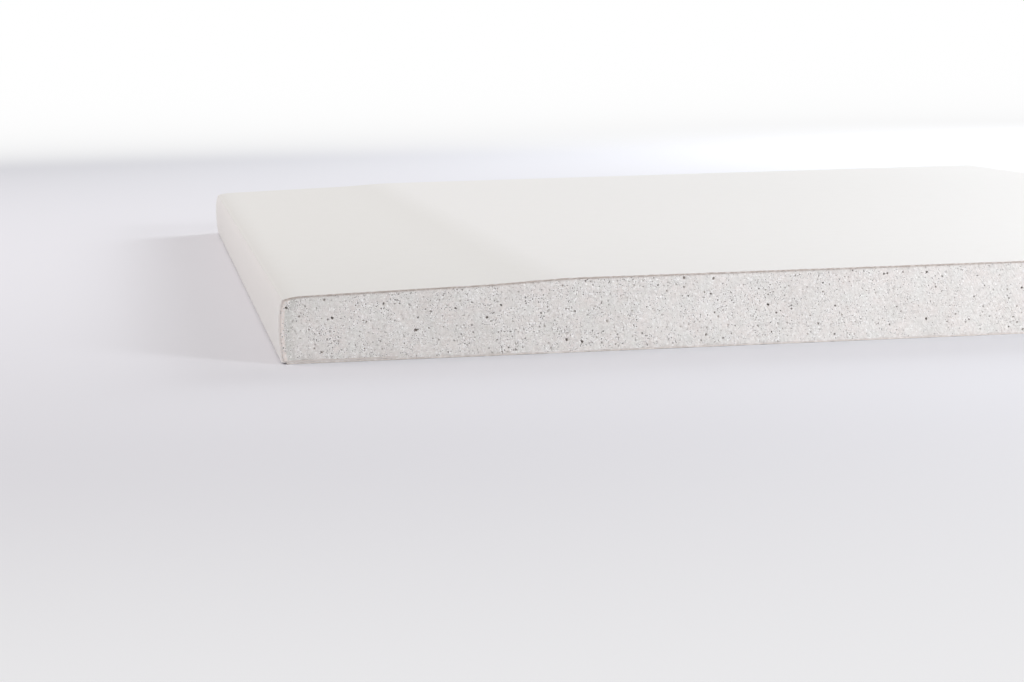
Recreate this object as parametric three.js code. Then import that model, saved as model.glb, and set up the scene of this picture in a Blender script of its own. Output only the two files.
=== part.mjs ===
// An offcut of drywall sheet with one tapered, paper-bound edge, lying on its back.
//
// A foamed gypsum core is cased in two sheets of paper. The face paper covers the top, wraps the
// bound edge and folds a short way under the core as a flap. The back paper covers the underside
// and laps over the flap. The other three sides are cut, and core and papers end flush there.
//
// Millimetres, +Z up. X runs across the board, from the bound edge at -X to the cut side at +X,
// and Y runs along the bound edge. The origin is the middle of the footprint, on the floor.
//
// Each piece is drawn as its cross-section, with x from the bound edge and y up from the floor,
// and is extruded along the bound edge.

import * as THREE from 'three';

// The board
const boardWidth = 220;
const boardLength = 300;
const boardThickness = 12.5;
const facePaperThickness = 0.3;
const backPaperThickness = 0.3;

// The taper, where the face drops towards the bound edge to leave room for jointing tape and
// filler. Going in from the edge it is a short roll-off, a long even slope, and the knuckle,
// where the slope steepens once more before it levels out.
const taperWidth = 50;
const rollOffWidth = 5;
const rollOffDrop = 0.5;
const slopeDrop = 0.68;
const knuckleWidth = 16;
const knuckleDrop = 0.62;

// The bound edge bulges between two crisp corners, where the paper was scored and then folded.
// Both corners lie back from the middle of the edge. The top one lies back further, and the edge
// leans in to it over a shoulder, which reaches about twice this far down.
const bottomCornerSetback = 0.36;
const topCornerSetback = 0.7;
const shoulderDrop = 1.4;

// Under the bound edge: how far the flap reaches in, and where the back paper starts
const flapWidth = 19.5;
const backPaperMargin = 1.2;

// Facets in each curve of the section
const curveFacets = 8;

// The line where the core meets the face paper: from the end of the flap, round the bound edge
// and over the top to the cut side. It runs clockwise, so the paper lies on its left.
function drawCasingLine() {
  const coreUnderside = backPaperThickness + facePaperThickness;
  const coreTop = boardThickness - facePaperThickness;

  const slopeEndX = taperWidth - knuckleWidth;
  const slopeEndY = coreTop - knuckleDrop;
  const slopeStartY = slopeEndY - slopeDrop;
  const slopeGradient = slopeDrop / (slopeEndX - rollOffWidth);
  const rollOffHandle = rollOffWidth / 2;
  const knuckleHandle = knuckleWidth / 3;

  const edgeX = facePaperThickness;
  const edgeTop = slopeStartY - rollOffDrop;
  const edgeMiddle = (coreUnderside + edgeTop) / 2;

  const line = new THREE.Path();
  line.moveTo(flapWidth, coreUnderside);
  line.lineTo(edgeX + bottomCornerSetback, coreUnderside);
  line.quadraticCurveTo(edgeX, (coreUnderside + edgeMiddle) / 2, edgeX, edgeMiddle);
  line.quadraticCurveTo(edgeX, edgeTop - shoulderDrop, edgeX + topCornerSetback, edgeTop);
  line.quadraticCurveTo(
    rollOffWidth - rollOffHandle, slopeStartY - slopeGradient * rollOffHandle,
    rollOffWidth, slopeStartY,
  );
  line.lineTo(slopeEndX, slopeEndY);
  line.bezierCurveTo(
    slopeEndX + knuckleHandle, slopeEndY + slopeGradient * knuckleHandle,
    taperWidth - knuckleHandle, coreTop,
    taperWidth, coreTop,
  );
  line.lineTo(boardWidth, coreTop);
  return line.getPoints(curveFacets);
}

// A line moved to its left, each point along its mitre: the far face of a sheet that lies on it
function offsetLine(line, distance) {
  const normals = line.slice(1).map((end, i) => {
    const along = end.clone().sub(line[i]).normalize();
    return new THREE.Vector2(-along.y, along.x);
  });
  return line.map((point, i) => {
    const before = normals[Math.max(i - 1, 0)];
    const after = normals[Math.min(i, normals.length - 1)];
    const mitre = before.clone().add(after);
    return point.clone().addScaledVector(mitre, (2 * distance) / mitre.lengthSq());
  });
}

// A piece of the board: its section drawn upright, and extruded from the near cut end
function makePiece(name, outline, finish) {
  const section = new THREE.Shape(outline);
  const geometry = new THREE.ExtrudeGeometry(section, { depth: boardLength, bevelEnabled: false });
  const piece = new THREE.Mesh(geometry, new THREE.MeshStandardMaterial(finish));
  piece.name = name;
  return piece;
}

// Poured and set as one slab. Its underside steps up over the flap.
function makeGypsumCore(casingLine) {
  const outline = [
    ...casingLine,
    new THREE.Vector2(boardWidth, backPaperThickness),
    new THREE.Vector2(flapWidth, backPaperThickness),
  ];
  return makePiece('gypsum_core', outline, { color: '#dbdad7', roughness: 0.95, metalness: 0 });
}

// One sheet, folded round the bound edge, with its free edge at the end of the flap
function makeFacePaper(casingLine) {
  const outside = offsetLine(casingLine, facePaperThickness);
  const outline = [...outside, ...casingLine.toReversed()];
  return makePiece('face_paper', outline, { color: '#e9e7e1', roughness: 0.8, metalness: 0 });
}

// One flat sheet, glued over the flap and the core's underside
function makeBackPaper() {
  const outline = [
    new THREE.Vector2(backPaperMargin, 0),
    new THREE.Vector2(boardWidth, 0),
    new THREE.Vector2(boardWidth, backPaperThickness),
    new THREE.Vector2(backPaperMargin, backPaperThickness),
  ];
  return makePiece('back_paper', outline, { color: '#b7aea1', roughness: 0.9, metalness: 0 });
}

// Sections stand up along +Z here, and are extruded from the far cut end to the near one
const casingLine = drawCasingLine();
const drywallSheet = new THREE.Group();
drywallSheet.add(makeGypsumCore(casingLine), makeFacePaper(casingLine), makeBackPaper());
drywallSheet.rotation.x = Math.PI / 2;
drywallSheet.position.set(-boardWidth / 2, boardLength / 2, 0);

export default drywallSheet;
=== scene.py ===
"""A drywall offcut with one tapered, paper-bound edge: its looks, its stage and its camera.

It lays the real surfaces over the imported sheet: a gypsum core whose sawn sides cut through its
bubbles, the face paper folded round the bound edge, and the back paper under it. Lengths inside
the functions are in millimetres, in the frame's own directions. The settings are in metres, and
so are the places of the floor, the lamps and the camera.
"""

import math
from collections import namedtuple

import bpy
import numpy as np
from bpy.props import FloatProperty, FloatVectorProperty, IntProperty, PointerProperty
from mathutils import Matrix, Vector, noise
from mathutils.geometry import delaunay_2d_cdt


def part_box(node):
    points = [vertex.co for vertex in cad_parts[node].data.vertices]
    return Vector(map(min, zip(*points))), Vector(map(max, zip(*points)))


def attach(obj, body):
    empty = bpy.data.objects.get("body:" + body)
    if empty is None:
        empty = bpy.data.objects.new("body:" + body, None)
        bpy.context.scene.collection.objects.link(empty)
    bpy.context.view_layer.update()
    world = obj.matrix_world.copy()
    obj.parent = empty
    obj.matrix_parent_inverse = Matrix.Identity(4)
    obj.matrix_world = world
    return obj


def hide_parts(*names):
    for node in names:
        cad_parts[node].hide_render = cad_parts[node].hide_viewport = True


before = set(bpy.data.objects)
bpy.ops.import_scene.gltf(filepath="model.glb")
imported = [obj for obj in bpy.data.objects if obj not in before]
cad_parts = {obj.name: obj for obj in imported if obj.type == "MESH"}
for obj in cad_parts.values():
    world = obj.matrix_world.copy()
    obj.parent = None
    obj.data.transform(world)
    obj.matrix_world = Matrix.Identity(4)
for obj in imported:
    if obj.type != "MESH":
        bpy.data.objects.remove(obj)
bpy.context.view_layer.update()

bl_info = {
    "name": "Drywall Offcut",
    "version": (1, 0, 0),
    "blender": (4, 5, 0),
    "location": "3D View > Sidebar > Drywall",
    "description": "Builds the pitted core and the two papers of a drywall offcut, and its stage",
    "category": "Object",
}

MM = 0.001
BODY = "root"
X, Y, Z = np.eye(3)

# The sheet's six sides, from the frame's pieces
node_boxes = np.array([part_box(node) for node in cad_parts]) / MM
BOUND_EDGE, NEAR_END, UNDERSIDE = node_boxes[:, 0].min(0)
CUT_SIDE, FAR_END, FACE = node_boxes[:, 1].max(0)


# ------------------------------------------------------------------------------- settings


def hex_colour(code):
    """An sRGB hex value as the linear colour that Blender's sockets hold."""
    parts = [int(code[i : i + 2], 16) / 255 for i in (1, 3, 5)]
    linear = [c / 12.92 if c <= 0.04045 else ((c + 0.055) / 1.055) ** 2.4 for c in parts]
    return (*linear, 1.0)


def length_of(name, description, millimetres):
    return FloatProperty(
        name=name, description=description, default=millimetres * MM, unit="LENGTH", precision=5
    )


def amount_of(name, description, amount, unit="NONE"):
    return FloatProperty(name=name, description=description, default=amount, unit=unit)


def colour_of(name, description, code):
    return FloatVectorProperty(
        name=name, description=description, default=hex_colour(code),
        size=4, subtype="COLOR", min=0, max=1,
    )


class SectionSettings(bpy.types.PropertyGroup):
    """The sheet's cross-section. Widths are measured in from the bound edge."""

    face_paper: length_of("Face Paper", "Thickness of the face paper", 0.3)
    back_paper: length_of("Back Paper", "Thickness of the back paper", 0.3)
    taper_width: length_of("Taper Width", "Where the face leaves the flat", 50)
    knuckle_width: length_of("Knuckle Width", "Width of the bend under the flat", 16)
    knuckle_drop: length_of("Knuckle Drop", "How far the knuckle drops", 0.62)
    slope_drop: length_of("Slope Drop", "How far the even slope drops", 0.68)
    roll_off_width: length_of("Roll-off Width", "Where the even slope ends", 5)
    roll_off_drop: length_of("Roll-off Drop", "How far the roll-off drops", 0.5)
    top_setback: length_of("Top Setback", "How far the bound edge's top corner lies back", 0.7)
    shoulder_drop: length_of("Shoulder Drop", "How low the shoulder under that corner is pulled", 1.4)
    bottom_setback: length_of("Bottom Setback", "How far its bottom corner lies back", 0.36)
    flap_width: length_of("Flap Width", "How far the face paper folds under", 19.5)
    back_margin: length_of("Back Margin", "Where the back paper starts", 1.2)


class CutSettings(bpy.types.PropertyGroup):
    """What sawing the sheet lays bare: open bubbles, crumbled grain and frayed paper."""

    large_bubble: length_of("Large Bubble", "Mouth radius of the largest bubbles", 0.3)
    medium_bubble: length_of("Medium Bubble", "Mouth radius of middling bubbles", 0.2)
    small_bubble: length_of("Small Bubble", "Mouth radius of small bubbles", 0.14)
    large_count: amount_of("Large Bubbles", "Per square millimetre, where they crowd", 0.08)
    medium_count: amount_of("Medium Bubbles", "Per square millimetre, where they crowd", 0.7)
    small_count: amount_of("Small Bubbles", "Per square millimetre, where they crowd", 5)
    grain_count: amount_of("Grain", "Crumbled points per square millimetre", 3)
    recess: length_of("Recess", "How far the saw left the core short of the papers", 0.03)
    grain_height: length_of("Grain Height", "How deep the crumbled grain goes", 0.03)
    chip_depth: length_of("Chip Depth", "How far the core has chipped along the papers", 0.15)
    fray: length_of("Fray", "How far the papers' cut edges are frayed", 0.08)
    seed: IntProperty(name="Seed", description="Changes where the bubbles lie", default=7)


class FinishSettings(bpy.types.PropertyGroup):
    """Colours of the gypsum and the papers."""

    gypsum: colour_of("Gypsum", "Cut gypsum", "#ebe5e1")
    cool_gypsum: colour_of("Cool Gypsum", "Cut gypsum where it is a little greener", "#e8e6e2")
    # Painted highlight: the pale lips of bubbles and pores are chalk dust and a painted highlight together
    chalk: colour_of("Chalk", "Dust on the lips of bubbles and pores", "#fffdfb")
    rim: colour_of("Rim", "Dense gypsum against the bound edge", "#f2e8e2")
    # Painted shade: the colour that the insides of bubbles and pores are darkened towards, standing in for
    # the shade in them. The cut gypsum's random dulling also leans towards it.
    damp_rim: colour_of("Damp Rim", "Greyer gypsum just inside that", "#dcdbd6")
    bubble: colour_of("Bubble", "Inside of a bubble, where little light gets in", "#8c8178")
    ivory: colour_of("Face Ply", "Outer ply of the face paper", "#e8e8e6")
    # Painted shade: the face ply is greyed over the taper, darkening it as its slope away from the light
    # would
    taper_painted_shade: colour_of("Taper Ply", "Face ply over the taper, a little greyer", "#e3e3e0")
    inner_ply: colour_of("Inner Plies", "Recycled fibre inside both papers", "#b9ada5")
    back_ply: colour_of("Back Ply", "Outer ply of the back paper", "#b9b0a3")


class StageSettings(bpy.types.PropertyGroup):
    """Floor, lamps and lens."""

    floor: colour_of("Floor", "The pale floor round the sheet", "#e8e9ee")
    lens: amount_of("Lens", "Focal length of the camera", 87.6, "CAMERA")
    key_power: amount_of("Key", "Power of the softbox past the far cut corner", 3.3, "POWER")
    reflector_power: amount_of("Reflector", "Power of the lamp on the bound side", 2.05, "POWER")
    front_power: amount_of("Front Lamp", "Power of the small lamp on the near end", 0.205, "POWER")
    cool_light: colour_of("Cool Light", "Colour of the lamps on the cut side", "#f8fbff")
    warm_light: colour_of("Warm Light", "Colour of the lamp on the bound side", "#ffefeb")
    fill: amount_of("Fill", "Strength of the even light from all round", 0.51)


# -------------------------------------------------------------------------- cross-section


def bezier(controls, facets):
    """Points along a Bezier curve of any degree, without its first point."""
    t = np.linspace(0, 1, facets + 1)[1:, None]
    last = len(controls) - 1
    return sum(
        math.comb(last, i) * t**i * (1 - t) ** (last - i) * np.array(point)
        for i, point in enumerate(controls)
    )


def casing_line(facets=16):
    """Where core and face paper meet, as x and z: from the flap's end, round to the cut side."""
    section = bpy.context.scene.drywall_section
    core_bottom = (section.back_paper + section.face_paper) / MM
    core_top = FACE - section.face_paper / MM

    slope_end_x = (section.taper_width - section.knuckle_width) / MM
    slope_end_z = core_top - section.knuckle_drop / MM
    slope_start_x = section.roll_off_width / MM
    slope_start_z = slope_end_z - section.slope_drop / MM
    gradient = (slope_end_z - slope_start_z) / (slope_end_x - slope_start_x)
    roll_off_x = slope_start_x / 2
    roll_off_z = slope_start_z - gradient * roll_off_x

    edge = section.face_paper / MM
    edge_top = slope_start_z - section.roll_off_drop / MM
    edge_middle = (core_bottom + edge_top) / 2
    shoulder_z = edge_top - section.shoulder_drop / MM
    bottom_corner = (edge + section.bottom_setback / MM, core_bottom)
    top_corner = (edge + section.top_setback / MM, edge_top)

    taper_end = section.taper_width / MM
    handle = section.knuckle_width / MM / 3
    knuckle_z = slope_end_z + gradient * handle

    lower_edge = [bottom_corner, (edge, (core_bottom + edge_middle) / 2), (edge, edge_middle)]
    upper_edge = [(edge, edge_middle), (edge, shoulder_z), top_corner]
    roll_off = [top_corner, (roll_off_x, roll_off_z), (slope_start_x, slope_start_z)]
    knuckle = [
        (slope_end_x, slope_end_z), (slope_end_x + handle, knuckle_z),
        (taper_end - handle, core_top), (taper_end, core_top),
    ]
    line = [
        [(section.flap_width / MM, core_bottom), bottom_corner],
        *(bezier(curve, facets) for curve in (lower_edge, upper_edge, roll_off)),
        [(slope_end_x, slope_end_z)],
        bezier(knuckle, facets),
        [(CUT_SIDE - BOUND_EDGE, core_top)],
    ]
    return np.concatenate(line) + [BOUND_EDGE, 0]


def offset_line(line, distance):
    """A line moved to its left, each point along its mitre."""
    along = np.diff(line, axis=0)
    along /= np.linalg.norm(along, axis=1)[:, None]
    normals = np.column_stack([-along[:, 1], along[:, 0]])
    mitres = np.concatenate([normals[:1], normals]) + np.concatenate([normals, normals[-1:]])
    return line + mitres * 2 * distance / (mitres**2).sum(1)[:, None]


def nearest_on_line(points, line):
    """For each point, the nearest place on a line, and how far off it is."""
    nearest = np.zeros_like(points)
    gap = np.full(len(points), np.inf)
    for start, end in zip(line[:-1], line[1:]):
        along = end - start
        share = np.clip((points - start) @ along / (along @ along), 0, 1)
        foot = start + share[:, None] * along
        reach = np.linalg.norm(points - foot, axis=1)
        closer = reach < gap
        nearest[closer], gap[closer] = foot[closer], reach[closer]
    return nearest, gap


def depth_inside(points, loop):
    """How far points lie inside a closed loop, and minus infinity outside it."""
    closed = np.concatenate([loop, loop[:1]])
    within = np.zeros(len(points), bool)
    for (x0, z0), (x1, z1) in zip(closed[:-1], closed[1:]):
        if z0 != z1:
            level = (z0 > points[:, 1]) != (z1 > points[:, 1])
            crossing = x0 + (points[:, 1] - z0) * (x1 - x0) / (z1 - z0)
            within ^= level & (points[:, 0] < crossing)
    return np.where(within, nearest_on_line(points, closed)[1], -np.inf)


# -------------------------------------------------------------------------- closed bodies

# A body's sides that the saw made, and the way from each into the body
NEAR, FAR, SIDE = range(3)
INWARD = {NEAR: Y, FAR: -Y, SIDE: -X}

# Spacing of the points along a sawn rim
RIM_STEP = 0.25

# An edge that turns by more than this stays sharp
SHARP_ANGLE = math.radians(40)

# What fills a flat patch inside its rim: loose points on it, and bubbles that open through it
Filling = namedtuple("Filling", "loose bubbles")

# A bubble: its points on the flat pattern, the same points in the body, and its number of sides.
# A point in the body has four numbers: two for its place, its depth, and 1 on the bubble's lip.
# The first points, as many as the sides, are the bubble's outline.
Bubble = namedtuple("Bubble", "flat solid sides")


def divide(start, end, step):
    """Points from start up to, but not including, end. Turned round, it gives the same ones."""
    low, high = sorted([tuple(start), tuple(end)])
    count = max(1, math.ceil(math.dist(low, high) / step))
    points = np.linspace(low, high, count + 1)
    return (points if low == tuple(start) else points[::-1])[:-1]


def place_at(points, y):
    """Points of the section, x and z, placed along the sheet."""
    return np.column_stack([points[:, 0], np.broadcast_to(y, len(points)), points[:, 1]])


class Body:
    """A closed body made of flat patches, joined wherever their rims share a point."""

    def __init__(self):
        self.points, self.cuts, self.hollows, self.triangles = [], [], [], []
        self.count = 0

    def patch(self, rim, across, up, filling, cut=None):
        """Covers the flat area inside a rim, whose outward side is across x up."""
        outward = np.cross(across, up)
        flat_rim = rim @ np.column_stack([across, up])
        flat = np.concatenate([flat_rim, filling.loose, *(b.flat for b in filling.bubbles)])
        inside = np.pad(filling.loose, ((0, 0), (0, 2)))
        solid = np.concatenate([inside, *(b.solid for b in filling.bubbles)])
        inner = solid[:, :3] @ [across, up, -outward] + (rim[0] @ outward) * outward

        mouths, start = [], len(rim) + len(inside)
        for bubble in filling.bubbles:
            ring = range(start, start + bubble.sides)
            mouths += zip(ring, [*ring[1:], start])
            start += len(bubble.flat)
        plane = [Vector(place) for place in flat]
        result = delaunay_2d_cdt(plane, mouths, [range(len(rim))], 1, 1e-7)
        faces, sources = result[2], result[3]
        self.triangles += [[self.count + sources[v][0] for v in face] for face in faces]

        cuts = np.zeros((len(flat), 3), bool)
        if cut is not None:
            cuts[:, cut] = True
        self.points.append(np.concatenate([rim, inner]))
        self.cuts.append(cuts)
        self.hollows.append(np.pad(solid[:, 2:], ((len(rim), 0), (0, 0))))
        self.count += len(flat)

    def join(self):
        """Its points, each held once, their sawn sides, their depth in a bubble and on its lip."""
        points, where = np.unique(np.concatenate(self.points), axis=0, return_inverse=True)
        where = where.ravel()
        cuts = np.zeros((len(points), 3), bool)
        np.logical_or.at(cuts, where, np.concatenate(self.cuts))
        hollows = np.zeros((len(points), 2))
        np.maximum.at(hollows, where, np.concatenate(self.hollows))
        return points, cuts, hollows, where[np.array(self.triangles)]


def run_lengthways(loop, step, fill_cut, collars=()):
    """Runs a section, drawn anticlockwise as seen from the near end, along the whole sheet.

    fill_cut gives the filling of a sawn side from its corners on the flat. collars are distances
    in from the sawn sides at which the rest of the surface can bend.
    """
    body = Body()
    ends = np.roll(loop, -1, axis=0)
    rim = np.concatenate([divide(a, b, step) for a, b in zip(loop, ends)])
    body.patch(place_at(rim, NEAR_END), X, Z, fill_cut(loop, NEAR), NEAR)
    body.patch(place_at(rim, FAR_END)[::-1], -X, Z, fill_cut(loop[::-1] * [-1, 1], FAR), FAR)

    fine_levels = np.append(divide((NEAR_END,), (FAR_END,), step), FAR_END)
    levels = [NEAR_END + c for c in (0, *collars)] + [FAR_END - c for c in (*collars[::-1], 0)]

    def lengthways(corner):
        along = fine_levels if corner[0] == CUT_SIDE else levels
        return place_at(np.tile(corner, (len(along), 1)), along)

    for start, end in zip(loop, ends):
        across = np.array([end[0] - start[0], 0, end[1] - start[1]])
        across /= np.linalg.norm(across)
        edge = np.concatenate([
            place_at(divide(start, end, step), FAR_END), lengthways(end)[:0:-1],
            place_at(divide(end, start, step), NEAR_END), lengthways(start)[:-1],
        ])
        flat = edge @ np.column_stack([across, -Y])
        low, high = flat.min(0), flat.max(0)
        if start[0] == CUT_SIDE == end[0]:
            corners = np.array([low, (high[0], low[1]), high, (low[0], high[1])])
            body.patch(edge, across, -Y, fill_cut(corners, SIDE), SIDE)
        else:
            columns = [low[0] + c for c in collars if start[0] == CUT_SIDE]
            columns += [high[0] - c for c in collars if end[0] == CUT_SIDE]
            body.patch(edge, across, -Y, beside_cuts(low, high, collars, columns, 2 * step))
    return body.join()


def beside_cuts(low, high, collars, columns, step):
    """Rows and columns of points, on a patch that is wide enough for them."""
    width = np.arange(low[0] + step, high[0] - step / 2, step)
    length = np.arange(low[1] + step, high[1] - step / 2, step)
    ends = [low[1] + c for c in collars] + [high[1] - c for c in collars]
    grids = np.meshgrid(width, ends), np.meshgrid(columns, length)
    return Filling(np.concatenate([np.stack(grid, -1).reshape(-1, 2) for grid in grids]), [])


# ---------------------------------------------------------------------------- gypsum core

# A kind of bubble: its mouth's largest radius, how many there are in a square millimetre where
# they crowd, its number of sides, the rings from its bottom to its mouth, and whether its lip is
# dished.
Kind = namedtuple("Kind", "radius count sides rings dished")

# How far a dished lip reaches and drops, as shares of the mouth's radius
LIP_REACH = 1.25
LIP_DROP = 0.15

# Room that a bubble needs: the share of its mouth that its belly may reach to under the surface,
# and a wall to the next one
BELLY = 1.4
WALL = 0.04

# The far end and the cut side have this share of the near end's lesser bubbles
FEWER = 0.55

# Bubbles lie in crowds about this wide
CROWD_WIDTH = 3.5


def smooth_step(value, low, high):
    share = np.clip((value - low) / (high - low), 0, 1)
    return share * share * (3 - 2 * share)


def noise_at(points, size):
    """Smooth noise, about -1 to 1, whose lumps have this size."""
    return np.array([noise.noise(Vector(point) / size) for point in points])


def smeared(x):
    """How far the blade dragged over the cut, which it did more towards the cut side."""
    return smooth_step(x, -30, 60)


def open_bubble(random, kind, radius, centre):
    """A ball that the saw cut open at some height, with its mouth a little out of round."""
    turn = random.uniform(0, math.tau)
    angles = turn + np.arange(kind.sides) * math.tau / kind.sides
    mouth = np.column_stack([np.cos(angles), np.sin(angles)])
    mouth *= radius * random.uniform(0.85, 1.1, (kind.sides, 1))
    slant = random.uniform(0, math.pi)
    lean = np.array([math.cos(slant), math.sin(slant)])
    mouth -= random.uniform(0, 0.35) * np.outer(mouth @ lean, lean)

    # The ball's middle lies under the cut by this share of its radius, or over it
    sunk = random.uniform(-0.5, 0.7)
    opening = math.acos(-sunk)
    lip = LIP_DROP if kind.dished else 0
    flat, solid = [], []
    if kind.dished:
        flat.append(centre + mouth * LIP_REACH)
        solid.append(np.pad(flat[0], ((0, 0), (0, 2))))
    for ring in range(kind.rings, -1, -1):
        angle = opening * ring / kind.rings
        edge = mouth if ring else np.zeros((1, 2))
        width = math.sin(angle) / math.sin(opening)
        depth = (math.cos(angle) + sunk) / math.sin(opening) + lip
        on_lip = kind.dished and ring == kind.rings
        flat.append(centre + edge * ring / kind.rings)
        tones = np.broadcast_to([depth * radius, on_lip], (len(edge), 2))
        solid.append(np.hstack([centre + edge * width, tones]))
    return Bubble(np.concatenate(flat), np.concatenate(solid), kind.sides)


def strew_bubbles(random, corners, kinds, grain_count, to_x):
    """Strews bubbles and grain over a flat cut, clear of its rim and of each other."""
    low, high = corners.min(0), corners.max(0)
    area = np.prod(high - low)
    placed = np.zeros((0, 3))
    bubbles = []
    for kind in kinds:
        spots = random.uniform(low, high, (int(kind.count * area), 2))
        radii = kind.radius * random.uniform(0.6, 1, len(spots))
        x = to_x(spots)

        # Fewer show where the blade dragged, and in the dense gypsum by the bound edge
        crowding = 0.62 + 1.3 * noise_at(np.insert(spots, 2, kind.sides, axis=1), CROWD_WIDTH)
        crowding *= 1 - 0.45 * smeared(x)
        crowding *= 0.15 + 0.85 * smooth_step(x, BOUND_EDGE + 0.6, BOUND_EDGE + 2.4)
        kept = random.uniform(0.08, 1, len(spots)) < crowding
        kept &= depth_inside(spots, corners) > radii * BELLY + WALL
        for spot, radius in zip(spots[kept], radii[kept]):
            gaps = np.hypot(*(placed[:, :2] - spot).T) - placed[:, 2]
            if not len(gaps) or gaps.min() > radius * BELLY + WALL:
                placed = np.vstack([placed, [*spot, radius * BELLY]])
                bubbles.append(open_bubble(random, kind, radius, spot))

    grain = random.uniform(low, high, (int(grain_count * area), 2))
    grain = grain[depth_inside(grain, corners) > 2 * WALL]
    clear = np.ones(len(grain), bool)
    for *spot, radius in placed:
        clear &= np.hypot(*(grain - spot).T) > radius + WALL
    return Filling(grain[clear], bubbles)


def roughen_cuts(points, cuts, to_paper):
    """Moves the sawn sides of the core inwards: crumbled grain, hollows, and chips by the papers.

    Returns how far the gypsum has chipped at each point, from 0 to 1.
    """
    cut = bpy.context.scene.drywall_cut
    corner = cuts.sum(1) > 1

    # Chips lie within half a millimetre of a paper, clear of the bound edge, and at the corners
    chips = smooth_step(noise_at(points, 1.3) + 0.5 * noise_at(points, 0.5), 0.05, 0.5)
    chips *= 1 - smooth_step(to_paper, 0.12, 0.5)
    chips *= smooth_step(points[:, 0], BOUND_EDGE + 1.5, BOUND_EDGE + 4)
    chips = np.maximum(chips, corner * smooth_step(noise_at(points, 2), -0.3, 0.5))
    for side, inward in INWARD.items():
        sawn = cuts[:, side]
        spots = points[sawn]
        hollows = 0.6 + noise_at(spots, 5) + 0.5 * noise_at(spots, 1.6)
        grain = np.abs(noise_at(spots, 0.47)) + np.abs(noise_at(spots + 50, 0.23))
        depth = cut.recess * np.clip(hollows, 0, 2) + cut.grain_height * np.clip(grain, 0, 1)
        depth += cut.chip_depth * chips[sawn]
        points[sawn] += inward * depth[:, None] / MM
    return chips


def build_core(material):
    """The gypsum slab, with the bubbles that the saw opened on its three sawn sides."""
    cut = bpy.context.scene.drywall_cut
    section = bpy.context.scene.drywall_section
    casing = casing_line()
    underside = UNDERSIDE + section.back_paper / MM
    bottom = np.array([(casing[0, 0], underside), (CUT_SIDE, underside)])
    loop = np.concatenate([bottom, casing[::-1]])

    kinds = {
        share: [
            Kind(cut.large_bubble / MM, cut.large_count, 8, 3, True),
            Kind(cut.medium_bubble / MM, cut.medium_count * share, 6, 2, True),
            Kind(cut.small_bubble / MM, cut.small_count * share**2, 5, 1, False),
        ]
        for share in (1, FEWER)
    }
    places = {
        NEAR: (1, lambda spots: spots[:, 0]),
        FAR: (FEWER, lambda spots: -spots[:, 0]),
        SIDE: (FEWER, lambda spots: np.full(len(spots), CUT_SIDE)),
    }
    random = np.random.default_rng(cut.seed)

    def fill_cut(corners, side):
        share, to_x = places[side]
        return strew_bubbles(random, corners, kinds[share], cut.grain_count * share**2, to_x)

    points, cuts, hollows, triangles = run_lengthways(loop, RIM_STEP, fill_cut)
    bound_side = casing[casing[:, 0] < BOUND_EDGE + 2 * section.top_setback / MM]
    folded = casing[1:]
    lines = casing, bottom, folded, bound_side
    to_casing, to_bottom, margin, rim = (nearest_on_line(points[:, [0, 2]], line)[1] for line in lines)
    chips = roughen_cuts(points, cuts, np.minimum(to_casing, to_bottom))
    # hollow, a point's depth in a bubble, sets the painted shade inside it. lip marks the bubble's lip, which
    # is painted pale as chalk dust and a painted highlight.
    tones = {
        "hollow": hollows[:, 0], "lip": hollows[:, 1], "chipped": chips, "margin": margin, "rim": rim,
    }
    return make_piece("gypsum_slab", "gypsum_core", material, points, triangles, tones)


# --------------------------------------------------------------------------------- papers


# Distances in from the sawn sides at which a paper can bend, so that only its margin is frayed
PAPER_COLLARS = (0.2, 0.7)


def fray_cuts(points, cuts, ply, to_middle):
    """Moves the papers' sawn edges in, their outermost fibres most, and thins them there."""
    cut = bpy.context.scene.drywall_cut
    sawn = cuts.any(1)
    thinning = 0.35 * np.clip(0.4 + noise_at(points[sawn], 0.8), 0, 1)
    points[np.ix_(sawn, [0, 2])] += to_middle[sawn] * thinning[:, None]
    for side, inward in INWARD.items():
        spots = points[cuts[:, side]]
        nicks = np.abs(noise_at(spots, 0.9)) + 0.6 * np.abs(noise_at(spots, 0.3))
        rounding = (2 * ply[cuts[:, side]] - 1) ** 2
        depth = cut.fray * (np.clip(nicks, 0, 1) + 0.4 * rounding)
        points[cuts[:, side]] += inward * depth[:, None] / MM


def build_paper(name, node, material, outer, inner, thickness, taper_shade_places):
    """A sheet of paper between two lines of the section, frayed along its sawn edges.

    The last argument gives places across the sheet, and at each the share of painted shade that greys the
    face ply over the taper.
    """
    middle = (outer + inner) / 2

    def fill_cut(corners, side):
        if side == SIDE:
            row = np.arange(corners[0, 1] + RIM_STEP, corners[2, 1] - RIM_STEP / 2, RIM_STEP)
            return Filling(np.insert(row[:, None], 0, corners[:, 0].mean(), axis=1), [])
        row = [divide(a, b, RIM_STEP) for a, b in zip(middle[:-1], middle[1:])]
        row = np.concatenate(row)[1:]
        return Filling(row * [-1 if side == FAR else 1, 1], [])

    loop = np.concatenate([inner, outer[::-1]])
    points, cuts, _, triangles = run_lengthways(loop, RIM_STEP, fill_cut, collars=PAPER_COLLARS)
    section = points[:, [0, 2]]
    ply = np.clip(nearest_on_line(section, outer)[1] / thickness, 0, 1)
    tones = {"ply": ply, "taper": np.interp(points[:, 0], *taper_shade_places)}
    fray_cuts(points, cuts, ply, nearest_on_line(section, middle)[0] - section)
    return make_piece(name, node, material, points, triangles, tones)


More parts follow.
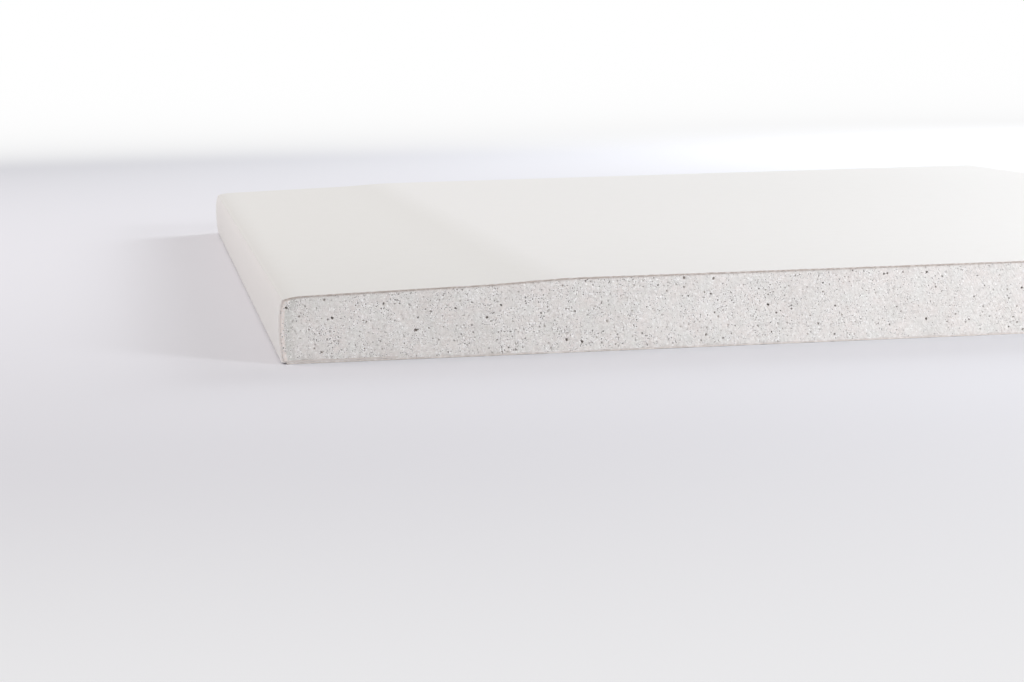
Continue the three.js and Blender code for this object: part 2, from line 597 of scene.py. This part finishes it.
def make_piece(name, node, material, points, triangles, tones):
    """Makes a Blender object of a closed body, which stands for a node of the frame."""
    rims = np.sort(np.concatenate([triangles[:, [0, 1]], triangles[:, [1, 2]], triangles[:, [2, 0]]]))
    if (np.unique(rims, axis=0, return_counts=True)[1] != 2).any():
        raise RuntimeError(f"{name} is not closed")
    mesh = bpy.data.meshes.new(name)
    mesh.from_pydata((points * MM).tolist(), [], triangles.tolist())
    if mesh.validate():
        raise RuntimeError(f"{name} has faces that Blender can't hold")
    for tone, values in tones.items():
        mesh.attributes.new(tone, "FLOAT", "POINT").data.foreach_set("value", values)
    mesh.shade_smooth()
    mesh.set_sharp_from_angle(angle=SHARP_ANGLE)
    mesh.materials.append(material)
    piece = bpy.data.objects.new(name, mesh)
    bpy.context.collection.objects.link(piece)
    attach(piece, BODY)
    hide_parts(node)
    return piece


# ------------------------------------------------------------------------------ materials


def add_node(tree, kind, inputs, **settings):
    """Adds a node with its settings, and gives each input its value or its link."""
    node = tree.nodes.new(kind)
    for name, value in settings.items():
        setattr(node, name, value)
    for name, value in inputs.items():
        if isinstance(value, bpy.types.NodeSocket):
            tree.links.new(value, node.inputs[name])
        else:
            node.inputs[name].default_value = value
    return node


def start_material(name, roughness, specular):
    """An opaque material, its node tree, its shader, and the object's own places in millimetres."""
    material = bpy.data.materials.new(name)
    material.use_nodes = True
    tree = material.node_tree
    shader = tree.nodes["Principled BSDF"]
    shader.inputs["Roughness"].default_value = roughness
    shader.inputs["Specular IOR Level"].default_value = specular
    coordinates = add_node(tree, "ShaderNodeTexCoord", {})
    scale = (1 / MM, 1 / MM, 1 / MM)
    places = add_node(tree, "ShaderNodeMapping", {"Vector": coordinates.outputs["Object"], "Scale": scale})
    return material, tree, shader, places.outputs["Vector"]


def cut_gypsum():
    """Gypsum plaster, foamed and set, then sawn.

    It is chalk-white and dead matt. The saw crumbles it into fine grain with pin pores, and the
    blade smears it in short slanting drags. Bubbles and pores are darkened and browned inside as
    painted shade, and their lips are painted pale, as chalk dust and a painted highlight.
    """
    finish = bpy.context.scene.drywall_finish
    material, tree, shader, places = start_material("cut_gypsum", 0.95, 0.2)

    broad_size = 7.0
    tint_size = 3.0
    patch_size = 2.6
    mottle_size = 0.6
    grain_size = 0.16
    drag_width = 0.22
    drag_length = 1.2
    drag_lean = math.radians(30)

    # The drags deepen between these places across the sheet, and the grain grows calmer
    drag_start, drag_end = -60, 60
    calm_start, calm_end = -50, 40

    # Pores, as their spacing, largest radius, depth and the strength of the painted shade in them
    pore_kinds = [(0.31, 0.135, 0.08, 0.9), (0.6, 0.21, 0.1, 0.9)]

    broad = add_node(tree, "ShaderNodeTexNoise", {"Vector": places, "Scale": 1 / broad_size, "Detail": 3})
    mottle = add_node(tree, "ShaderNodeTexNoise", {
        "Vector": places, "Scale": 1 / mottle_size, "Detail": 3, "Roughness": 0.5,
    })
    grain = add_node(tree, "ShaderNodeTexNoise", {
        "Vector": places, "Scale": 1 / grain_size, "Detail": 2, "Roughness": 0.6,
    })
    patches = add_node(tree, "ShaderNodeTexNoise", {
        "Vector": places, "Scale": 1 / patch_size, "Detail": 2, "Distortion": 0.5,
    })
    place = add_node(tree, "ShaderNodeSeparateXYZ", {"Vector": places})
    wiped = add_node(tree, "ShaderNodeMapRange", {
        "Value": place.outputs["X"], "From Min": calm_start, "From Max": calm_end,
        "To Min": 1, "To Max": 0.5,
    })
    crumbled = add_node(tree, "ShaderNodeMapRange", {
        "Value": patches.outputs[0], "From Min": 0.4, "From Max": 0.6,
        "To Min": 0.6, "To Max": wiped.outputs[0],
    }, interpolation_type="SMOOTHSTEP")

    drag_places = add_node(tree, "ShaderNodeMapping", {
        "Vector": places, "Rotation": (0, drag_lean, 0),
    })
    drag_scale = (1 / drag_width, 1 / drag_width, 1 / drag_length)
    drawn = add_node(tree, "ShaderNodeMapping", {
        "Vector": drag_places.outputs["Vector"], "Scale": drag_scale,
    })
    drags = add_node(tree, "ShaderNodeTexNoise", {
        "Vector": drawn.outputs["Vector"], "Scale": 1, "Detail": 2,
    })
    smear = add_node(tree, "ShaderNodeMapRange", {
        "Value": place.outputs["X"], "From Min": drag_start, "From Max": drag_end,
        "To Min": 0.05, "To Max": 0.13,
    }, interpolation_type="SMOOTHSTEP")

    # Heights in millimetres, added up
    ground = add_node(tree, "ShaderNodeMapRange", {
        "Value": mottle.outputs[0], "From Min": 0, "From Max": 1, "To Min": -0.11, "To Max": 0.055,
    })
    rough = add_node(tree, "ShaderNodeMath", {
        0: grain.outputs[0], 1: 0.085, 2: ground.outputs[0],
    }, operation="MULTIPLY_ADD")
    crumbs = add_node(tree, "ShaderNodeMath", {
        0: rough.outputs[0], 1: crumbled.outputs[0],
    }, operation="MULTIPLY")
    height = add_node(tree, "ShaderNodeMath", {
        0: drags.outputs[0], 1: smear.outputs[0], 2: crumbs.outputs[0],
    }, operation="MULTIPLY_ADD").outputs[0]
    # The lips of bubbles and pores are painted pale: chalk dust, and a painted highlight
    lip = add_node(tree, "ShaderNodeAttribute", {}, attribute_name="lip")
    bubble_lip_highlight = add_node(tree, "ShaderNodeMapRange", {
        "Value": lip.outputs["Fac"], "From Min": 0.4, "From Max": 1, "To Min": 0, "To Max": 1,
    }, interpolation_type="SMOOTHSTEP")
    pores_painted_shade, on_lip = 0.0, bubble_lip_highlight.outputs[0]
    for spacing, radius, depth, darkness in pore_kinds:
        cells = add_node(tree, "ShaderNodeTexVoronoi", {"Vector": places, "Scale": 1 / spacing})
        chance = add_node(tree, "ShaderNodeSeparateColor", {"Color": cells.outputs["Color"]})
        mouth = add_node(tree, "ShaderNodeMath", {
            0: chance.outputs["Red"], 1: 0.5 * radius / spacing, 2: 0.5 * radius / spacing,
        }, operation="MULTIPLY_ADD")
        mouth = add_node(tree, "ShaderNodeMath", {
            0: mouth.outputs[0], 1: crumbled.outputs[0],
        }, operation="MULTIPLY")
        off_centre = add_node(tree, "ShaderNodeMath", {
            0: cells.outputs["Distance"], 1: mouth.outputs[0],
        }, operation="DIVIDE")
        # Painted shade in the middle of each of the pores, which the bump alone doesn't darken
        painted_pore_shade = add_node(tree, "ShaderNodeMapRange", {
            "Value": off_centre.outputs[0], "From Min": 0.5, "From Max": 1,
            "To Min": darkness, "To Max": 0,
        }, interpolation_type="SMOOTHSTEP")
        # A pale ring round each of the pores: chalk dust and a painted highlight
        pore_lip_highlight = add_node(tree, "ShaderNodeMapRange", {
            "Value": off_centre.outputs[0], "From Min": 1.15, "From Max": 1.6,
            "To Min": 1, "To Max": 0,
        }, interpolation_type="SMOOTHSTEP")
        ground_level = add_node(tree, "ShaderNodeMapRange", {
            "Value": off_centre.outputs[0], "From Min": 0.2, "From Max": 1.2,
            "To Min": 0, "To Max": depth,
        }, interpolation_type="SMOOTHSTEP")
        pores_painted_shade = add_node(tree, "ShaderNodeMath", {
            0: painted_pore_shade.outputs[0], 1: pores_painted_shade,
        }, operation="MAXIMUM").outputs[0]
        on_lip = add_node(tree, "ShaderNodeMath", {
            0: pore_lip_highlight.outputs[0], 1: on_lip,
        }, operation="MAXIMUM").outputs[0]
        height = add_node(tree, "ShaderNodeMath", {
            0: ground_level.outputs[0], 1: height,
        }, operation="ADD").outputs[0]
    relief = add_node(tree, "ShaderNodeBump", {"Height": height, "Strength": 1, "Distance": MM})

    # Painted shade inside the cut bubbles, darker where they are deeper
    hollow = add_node(tree, "ShaderNodeAttribute", {}, attribute_name="hollow")
    bubble_painted_shade = add_node(tree, "ShaderNodeMapRange", {
        "Value": hollow.outputs["Fac"], "From Min": 0, "From Max": 0.45, "To Min": 0, "To Max": 0.7,
    })
    # The painted shade of bubbles and pores together
    shade = add_node(tree, "ShaderNodeMath", {
        0: bubble_painted_shade.outputs[0], 1: pores_painted_shade,
    }, operation="MAXIMUM")
    cloud = add_node(tree, "ShaderNodeMapRange", {
        "Value": broad.outputs[0], "From Min": 0.3, "From Max": 0.7, "To Min": 0, "To Max": 0.1,
    })
    speckle = add_node(tree, "ShaderNodeMapRange", {
        "Value": mottle.outputs[0], "From Min": 0.3, "From Max": 0.7, "To Min": 0.2, "To Max": 0,
    })
    dulling = add_node(tree, "ShaderNodeMath", {0: cloud.outputs[0], 1: speckle.outputs[0]}, operation="ADD")
    most = add_node(tree, "ShaderNodeMath", {0: dulling.outputs[0], 1: shade.outputs[0]}, operation="MAXIMUM")

    # The plaster is a little greener in some places
    tint_noise = add_node(tree, "ShaderNodeTexNoise", {"Vector": places, "Scale": 1 / tint_size, "Detail": 2})
    tint = add_node(tree, "ShaderNodeMapRange", {
        "Value": tint_noise.outputs[0], "From Min": 0.35, "From Max": 0.65, "To Min": 0, "To Max": 1,
    })
    plaster = add_node(tree, "ShaderNodeMix", {
        0: tint.outputs[0], 6: finish.gypsum, 7: finish.cool_gypsum,
    }, data_type="RGBA")

    # Against the bound edge it is set denser and paler, and it is greyer just inside that
    rim = add_node(tree, "ShaderNodeAttribute", {}, attribute_name="rim")
    inside_rim = add_node(tree, "ShaderNodeMapRange", {
        "Value": rim.outputs["Fac"], "From Min": 1.2, "From Max": 2.6, "To Min": 0, "To Max": 1,
    }, interpolation_type="SMOOTHSTEP")
    past_rim = add_node(tree, "ShaderNodeMapRange", {
        "Value": rim.outputs["Fac"], "From Min": 0.5, "From Max": 0.9, "To Min": 0, "To Max": 1,
    }, interpolation_type="SMOOTHSTEP")
    inner = add_node(tree, "ShaderNodeMix", {
        0: inside_rim.outputs[0], 6: finish.damp_rim, 7: plaster.outputs[2],
    }, data_type="RGBA")
    sound = add_node(tree, "ShaderNodeMix", {
        0: past_rim.outputs[0], 6: finish.rim, 7: inner.outputs[2],
    }, data_type="RGBA")
    # Chalk dust and a painted highlight on the lips
    chalk_and_highlight = add_node(tree, "ShaderNodeMix", {
        0: on_lip, 6: sound.outputs[2], 7: finish.chalk,
    }, data_type="RGBA")
    # Mixed towards the bubble colour: random dulling, and painted shade in bubbles and pores
    dulled_and_painted_shade = add_node(tree, "ShaderNodeMix", {
        0: most.outputs[0], 6: chalk_and_highlight.outputs[2], 7: finish.bubble,
    }, data_type="RGBA")

    # It is tinted towards the inner plies' colour along the papers, and a little where it has chipped
    margin = add_node(tree, "ShaderNodeAttribute", {}, attribute_name="margin")
    by_paper = add_node(tree, "ShaderNodeMapRange", {
        "Value": margin.outputs["Fac"], "From Min": 0.02, "From Max": 0.25, "To Min": 0.5, "To Max": 0,
    })
    chipped = add_node(tree, "ShaderNodeAttribute", {}, attribute_name="chipped")
    fibres = add_node(tree, "ShaderNodeMath", {
        0: chipped.outputs["Fac"], 1: 0.1, 2: by_paper.outputs[0],
    }, operation="MULTIPLY_ADD", use_clamp=True)
    colour = add_node(tree, "ShaderNodeMix", {
        0: fibres.outputs[0], 6: dulled_and_painted_shade.outputs[2], 7: finish.inner_ply,
    }, data_type="RGBA")
    tree.links.new(colour.outputs[2], shader.inputs["Base Color"])
    tree.links.new(relief.outputs["Normal"], shader.inputs["Normal"])
    return material


def sheet_paper(name, ply_colour, fleck_colour, fleck_share, roughness, dust_share):
    """Paper pressed from recycled pulp, with its fibres laid every way and its plies laid bare.

    The sawn edge shows the grey-brown inner plies, with gypsum dust caught in them.
    """
    finish = bpy.context.scene.drywall_finish
    material, tree, shader, places = start_material(name, roughness, 0.25)

    # Fibres are 2 to 3 mm long. Real ones are 0.02 mm wide: these are coarser, to show.
    fibre_length = 2.4
    fibre_width = 0.16
    fibre_height = 0.02
    cloud_size = 4.0
    dust_size = 0.7

    fibres = 0.0
    for turn in (0.3, 1.2, 2.4):
        scale = (1 / fibre_length, 1 / fibre_width, 1 / fibre_width)
        laid = add_node(tree, "ShaderNodeMapping", {"Vector": places, "Rotation": (0, 0, turn)})
        drawn = add_node(tree, "ShaderNodeMapping", {"Vector": laid.outputs["Vector"], "Scale": scale})
        strands = add_node(tree, "ShaderNodeTexNoise", {
            "Vector": drawn.outputs["Vector"], "Scale": 1, "Detail": 2, "Distortion": 0.4,
        })
        fibres = add_node(tree, "ShaderNodeMath", {
            0: strands.outputs[0], 1: fibres,
        }, operation="MAXIMUM").outputs[0]
    cloud = add_node(tree, "ShaderNodeTexNoise", {"Vector": places, "Scale": 1 / cloud_size, "Detail": 4})

    fleck = add_node(tree, "ShaderNodeMapRange", {
        "Value": fibres, "From Min": 0.62, "From Max": 0.74, "To Min": 0, "To Max": fleck_share,
    }, interpolation_type="SMOOTHSTEP")
    formation = add_node(tree, "ShaderNodeMapRange", {
        "Value": cloud.outputs[0], "From Min": 0.35, "From Max": 0.65, "To Min": 0, "To Max": 0.3,
    })
    flecked = add_node(tree, "ShaderNodeMath", {
        0: formation.outputs[0], 1: fleck_share, 2: fleck.outputs[0],
    }, operation="MULTIPLY_ADD")
    # Painted shade: the outer ply is greyed over the taper
    taper_shade_share = add_node(tree, "ShaderNodeAttribute", {}, attribute_name="taper")
    outer_ply_with_shade = add_node(tree, "ShaderNodeMix", {
        0: taper_shade_share.outputs["Fac"], 6: ply_colour, 7: finish.taper_painted_shade,
    }, data_type="RGBA")
    surface = add_node(tree, "ShaderNodeMix", {
        0: flecked.outputs[0], 6: outer_ply_with_shade.outputs[2], 7: fleck_colour,
    }, data_type="RGBA")

    dust_noise = add_node(tree, "ShaderNodeTexNoise", {"Vector": places, "Scale": 1 / dust_size, "Detail": 3})
    dust = add_node(tree, "ShaderNodeMapRange", {
        "Value": dust_noise.outputs[0], "From Min": 0.45, "From Max": 0.65,
        "To Min": dust_share - 0.4, "To Max": dust_share,
    }, interpolation_type="SMOOTHSTEP")
    place = add_node(tree, "ShaderNodeSeparateXYZ", {"Vector": places})
    at_bound_edge = add_node(tree, "ShaderNodeMapRange", {
        "Value": place.outputs["X"], "From Min": BOUND_EDGE + 0.5, "From Max": BOUND_EDGE + 1.5,
        "To Min": 0.8, "To Max": 0,
    })
    in_flap = add_node(tree, "ShaderNodeMapRange", {
        "Value": place.outputs["Z"], "From Min": UNDERSIDE + 0.6, "From Max": UNDERSIDE + 1.5,
        "To Min": 0.5, "To Max": 0,
    })
    rubbed = add_node(tree, "ShaderNodeMath", {
        0: at_bound_edge.outputs[0], 1: in_flap.outputs[0],
    }, operation="MAXIMUM")
    dusty = add_node(tree, "ShaderNodeMath", {
        0: dust.outputs[0], 1: rubbed.outputs[0],
    }, operation="MAXIMUM")
    plies = add_node(tree, "ShaderNodeMix", {
        0: dusty.outputs[0], 6: finish.inner_ply, 7: finish.gypsum,
    }, data_type="RGBA")
    ply = add_node(tree, "ShaderNodeAttribute", {}, attribute_name="ply")
    bared = add_node(tree, "ShaderNodeMapRange", {
        "Value": ply.outputs["Fac"], "From Min": 0.02, "From Max": 0.2, "To Min": 0, "To Max": 1,
    }, interpolation_type="SMOOTHSTEP")
    colour = add_node(tree, "ShaderNodeMix", {
        0: bared.outputs[0], 6: surface.outputs[2], 7: plies.outputs[2],
    }, data_type="RGBA")
    tree.links.new(colour.outputs[2], shader.inputs["Base Color"])

    height = add_node(tree, "ShaderNodeMath", {0: fibres, 1: fibre_height}, operation="MULTIPLY")
    relief = add_node(tree, "ShaderNodeBump", {"Height": height.outputs[0], "Strength": 1, "Distance": MM})
    tree.links.new(relief.outputs["Normal"], shader.inputs["Normal"])
    return material


# ---------------------------------------------------------------------------------- stage


def seen_directly(tree):
    """1 for rays that show the background itself, and 0 for rays that carry its light."""
    path = add_node(tree, "ShaderNodeLightPath", {})
    shown = path.outputs["Is Camera Ray"]
    for ray in ("Is Glossy Ray", "Is Transmission Ray"):
        shown = add_node(tree, "ShaderNodeMath", {
            0: shown, 1: path.outputs[ray],
        }, operation="MAXIMUM").outputs[0]
    return shown


def studio_floor():
    """Matt laminate, pale and a little cold, that fades into the white round it."""
    stage = bpy.context.scene.drywall_stage
    material, tree, shader, places = start_material("studio_floor", 0.8, 0.2)
    shader.inputs["Base Color"].default_value = stage.floor

    # All of the floor shows within the clear distance of the centre, and half of it half_way past that
    centre = (-100, 175, 0)
    clear = 395
    half_way = 140
    reach = add_node(tree, "ShaderNodeVectorMath", {0: places, 1: centre}, operation="DISTANCE")
    beyond = add_node(tree, "ShaderNodeMapRange", {
        "Value": reach.outputs["Value"], "From Min": clear, "From Max": clear + half_way,
        "To Min": 0, "To Max": 1,
    }, clamp=False)
    out = add_node(tree, "ShaderNodeMath", {0: beyond.outputs[0], 1: 0.0}, operation="MAXIMUM")
    square = add_node(tree, "ShaderNodeMath", {0: out.outputs[0], 1: 2.0}, operation="POWER")
    whole = add_node(tree, "ShaderNodeMath", {0: square.outputs[0], 1: 1.0}, operation="ADD")
    fade = add_node(tree, "ShaderNodeMath", {0: square.outputs[0], 1: whole.outputs[0]}, operation="DIVIDE")
    share = add_node(tree, "ShaderNodeMath", {
        0: fade.outputs[0], 1: seen_directly(tree),
    }, operation="MULTIPLY")
    white = add_node(tree, "ShaderNodeEmission", {"Color": (1, 1, 1, 1), "Strength": 1})
    mixed = add_node(tree, "ShaderNodeMixShader", {
        0: share.outputs[0], 1: shader.outputs["BSDF"], 2: white.outputs["Emission"],
    })
    tree.links.new(mixed.outputs["Shader"], tree.nodes["Material Output"].inputs["Surface"])
    return material


def build_floor():
    """A level floor that reaches past every view."""
    reach = 20.0
    mesh = bpy.data.meshes.new("floor")
    corners = [(-reach, -reach, 0), (reach, -reach, 0), (reach, reach, 0), (-reach, reach, 0)]
    mesh.from_pydata(corners, [], [(0, 1, 2, 3)])
    mesh.materials.append(studio_floor())
    floor = bpy.data.objects.new("floor", mesh)
    bpy.context.collection.objects.link(floor)


def light_stage():
    """An even glow from all round, a softbox behind the far corner, and two weaker lamps."""
    stage = bpy.context.scene.drywall_stage
    world = bpy.data.worlds.new("studio")
    world.use_nodes = True
    bpy.context.scene.world = world
    tree = world.node_tree
    fill = tree.nodes["Background"]
    fill.inputs["Color"].default_value = (1, 1, 1, 1)
    fill.inputs["Strength"].default_value = stage.fill
    white = add_node(tree, "ShaderNodeBackground", {"Color": (1, 1, 1, 1), "Strength": 1})
    mixed = add_node(tree, "ShaderNodeMixShader", {
        0: seen_directly(tree), 1: fill.outputs["Background"], 2: white.outputs["Background"],
    })
    tree.links.new(mixed.outputs["Shader"], tree.nodes["World Output"].inputs["Surface"])

    cool, warm = stage.cool_light[:3], stage.warm_light[:3]
    middle, near_end = Vector(), Vector((0.065, -0.15, 0))
    place_lamp("softbox", stage.key_power, cool, (0.5, 0.55, 0.3), middle, (0.5, 0.3))
    place_lamp("reflector", stage.reflector_power, warm, (-0.6, 0.05, 0.5), middle, (0.6, 0.6))
    front_place = (0.463, -0.68, 0.197)
    front = place_lamp("front_lamp", stage.front_power, cool, front_place, near_end, (0.25, 0.15), 36)

    # It rakes over the face, whose glare would clip to white: glossy rays don't see it
    front.visible_glossy = False


def place_lamp(name, power, colour, place, target, size, spread=180):
    """A soft rectangular lamp turned to a target, with a grid where it spreads less widely."""
    lamp = bpy.data.lights.new(name, "AREA")
    lamp.shape = "RECTANGLE"
    lamp.size, lamp.size_y = size
    lamp.energy = power
    lamp.color = colour
    lamp.spread = math.radians(spread)
    holder = bpy.data.objects.new(name, lamp)
    holder.location = place
    holder.rotation_euler = (target - holder.location).to_track_quat("-Z", "Y").to_euler()
    bpy.context.collection.objects.link(holder)
    return holder


def place_camera():
    """Low in front of the bound edge's near corner, tipped down, and rolled a little."""
    stage = bpy.context.scene.drywall_stage
    lens = bpy.data.cameras.new("camera")
    lens.lens = stage.lens
    lens.clip_start = 0.01
    camera = bpy.data.objects.new("camera", lens)
    place = (-0.1319, -0.5543, 0.0513)
    turned, tipped, rolled = -8.49, 6.83, -1.335
    turn = Matrix.Rotation(math.radians(turned), 4, "Z")
    tip = Matrix.Rotation(math.radians(90 - tipped), 4, "X")
    roll = Matrix.Rotation(math.radians(rolled), 4, "Z")
    camera.matrix_world = Matrix.Translation(place) @ turn @ tip @ roll
    bpy.context.collection.objects.link(camera)
    bpy.context.scene.camera = camera


# ------------------------------------------------------------------------------ operators


class DRYWALL_OT_make_core(bpy.types.Operator):
    """Build the gypsum core, with the bubbles that its sawn sides cut through"""

    bl_idname = "drywall.make_core"
    bl_label = "Gypsum Core"

    def execute(self, context):
        build_core(cut_gypsum())
        return {"FINISHED"}


class DRYWALL_OT_make_face_paper(bpy.types.Operator):
    """Lay the face paper over the core, round its bound edge and under it as a flap"""

    bl_idname = "drywall.make_face_paper"
    bl_label = "Face Paper"

    def execute(self, context):
        finish = context.scene.drywall_finish
        material = sheet_paper("ivory_paper", finish.ivory, finish.inner_ply, 0.06, 0.7, 0.4)
        section = context.scene.drywall_section
        casing = casing_line()
        thickness = section.face_paper / MM
        outer = offset_line(casing, thickness)
        taper_end = section.taper_width / MM
        # Where the painted shade greys the face ply: rising over its first millimetres, and fading out across
        # the knuckle
        places = np.array([0.5, 1.5, taper_end - section.knuckle_width / MM / 2, taper_end]) + BOUND_EDGE
        tone = places, (0, 1, 1, 0)
        build_paper("face_sheet", "face_paper", material, outer, casing, thickness, tone)
        return {"FINISHED"}


class DRYWALL_OT_make_back_paper(bpy.types.Operator):
    """Lay the back paper under the core, over the flap of the face paper"""

    bl_idname = "drywall.make_back_paper"
    bl_label = "Back Paper"

    def execute(self, context):
        finish = context.scene.drywall_finish
        section = context.scene.drywall_section
        material = sheet_paper("grey_paper", finish.back_ply, finish.inner_ply, 0.4, 0.85, 0.8)
        thickness = section.back_paper / MM
        start = BOUND_EDGE + section.back_margin / MM
        inner = np.array([(CUT_SIDE, UNDERSIDE + thickness), (start, UNDERSIDE + thickness)])
        outer = np.array([(CUT_SIDE, UNDERSIDE), (start, UNDERSIDE)])
        # The back paper takes none of the taper's painted shade
        tone = (BOUND_EDGE,), (0,)
        build_paper("back_sheet", "back_paper", material, outer, inner, thickness, tone)
        return {"FINISHED"}


class DRYWALL_OT_make_stage(bpy.types.Operator):
    """Set the sheet on a pale floor, under soft light and in front of the camera"""

    bl_idname = "drywall.make_stage"
    bl_label = "Stage"

    def execute(self, context):
        context.scene.view_settings.view_transform = "Standard"
        build_floor()
        light_stage()
        place_camera()
        return {"FINISHED"}


class DRYWALL_PT_sheet(bpy.types.Panel):
    """The sheet's settings, and a button for each piece"""

    bl_label = "Drywall Offcut"
    bl_space_type = "VIEW_3D"
    bl_region_type = "UI"
    bl_category = "Drywall"

    def draw(self, context):
        for name in SETTINGS:
            settings = getattr(context.scene, name)
            box = self.layout.box()
            for entry in settings.__annotations__:
                box.prop(settings, entry)
        for operator in OPERATORS:
            self.layout.operator(operator.bl_idname)


SETTINGS = {
    "drywall_section": SectionSettings,
    "drywall_cut": CutSettings,
    "drywall_finish": FinishSettings,
    "drywall_stage": StageSettings,
}
OPERATORS = (
    DRYWALL_OT_make_core, DRYWALL_OT_make_face_paper, DRYWALL_OT_make_back_paper, DRYWALL_OT_make_stage,
)


def register():
    for entry in (*SETTINGS.values(), *OPERATORS, DRYWALL_PT_sheet):
        bpy.utils.register_class(entry)
    for name, settings in SETTINGS.items():
        setattr(bpy.types.Scene, name, PointerProperty(type=settings))


def unregister():
    for name in SETTINGS:
        delattr(bpy.types.Scene, name)
    for entry in (DRYWALL_PT_sheet, *reversed(OPERATORS), *reversed(SETTINGS.values())):
        bpy.utils.unregister_class(entry)


def main():
    register()
    bpy.ops.drywall.make_core()
    bpy.ops.drywall.make_face_paper()
    bpy.ops.drywall.make_back_paper()
    bpy.ops.drywall.make_stage()


if __name__ == "__main__":
    main()
